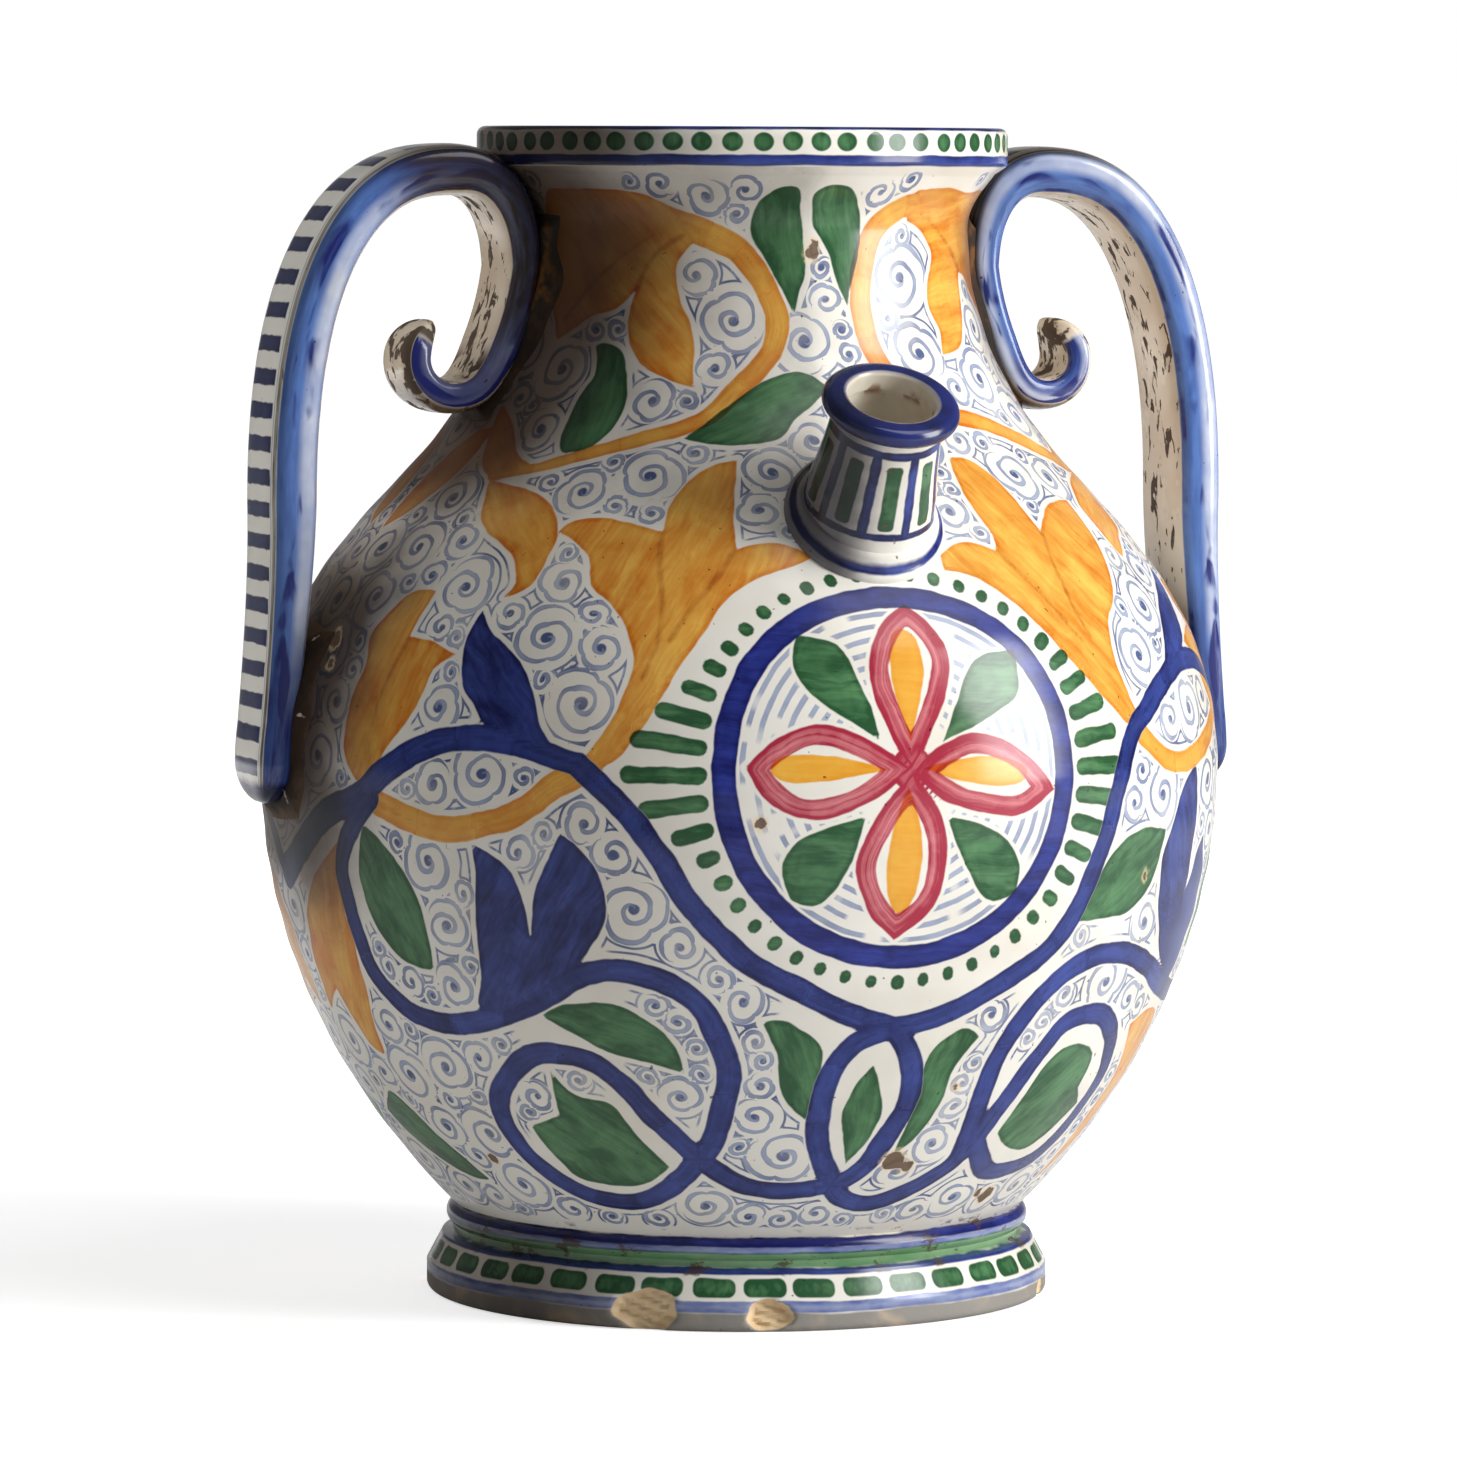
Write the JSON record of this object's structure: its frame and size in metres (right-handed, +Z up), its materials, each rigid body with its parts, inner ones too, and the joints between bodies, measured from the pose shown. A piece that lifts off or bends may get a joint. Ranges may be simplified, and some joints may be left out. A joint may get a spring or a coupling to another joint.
{
  "type": "amphora",
  "caption": "Big-bellied glazed jar with scrolled strap handles, a short shoulder spout, a banded rim and a flared foot ring, for storing and pouring liquids.",
  "frame": {"origin": "centre of the foot ring's rest, on the surface that the jar stands on", "axes": "+Z up along the jar's axis, the front with the spout faces -Y, the handles stand on +X and -X"},
  "size_m": [0.3706, 0.3475, 0.42],
  "materials": {
    "painted_glaze": "glossy white tin glaze painted in blue, orange, green and pink, worn at edges",
    "spout_glaze": "glossy white tin glaze with cobalt rings and green and blue stripes",
    "strap_glaze": "glossy cobalt blue sides, white back with blue bars, cream inner face",
    "lute_clay": "thinly glazed brown luting clay, patchy"
  },
  "bodies": {
    "root": {"foot_ring": "painted_glaze", "lower_bowl": "painted_glaze", "shoulder_dome": "painted_glaze", "neck_collar": "painted_glaze", "mouth_rim": "painted_glaze", "spout_collar": "spout_glaze", "spout_tube": "spout_glaze", "spout_lip": "spout_glaze", "handle_left": "strap_glaze", "handle_right": "strap_glaze", "belly_lute_left": "lute_clay", "belly_lute_right": "lute_clay", "neck_lute_left": "lute_clay", "neck_lute_right": "lute_clay"}
  },
  "joints": []
}
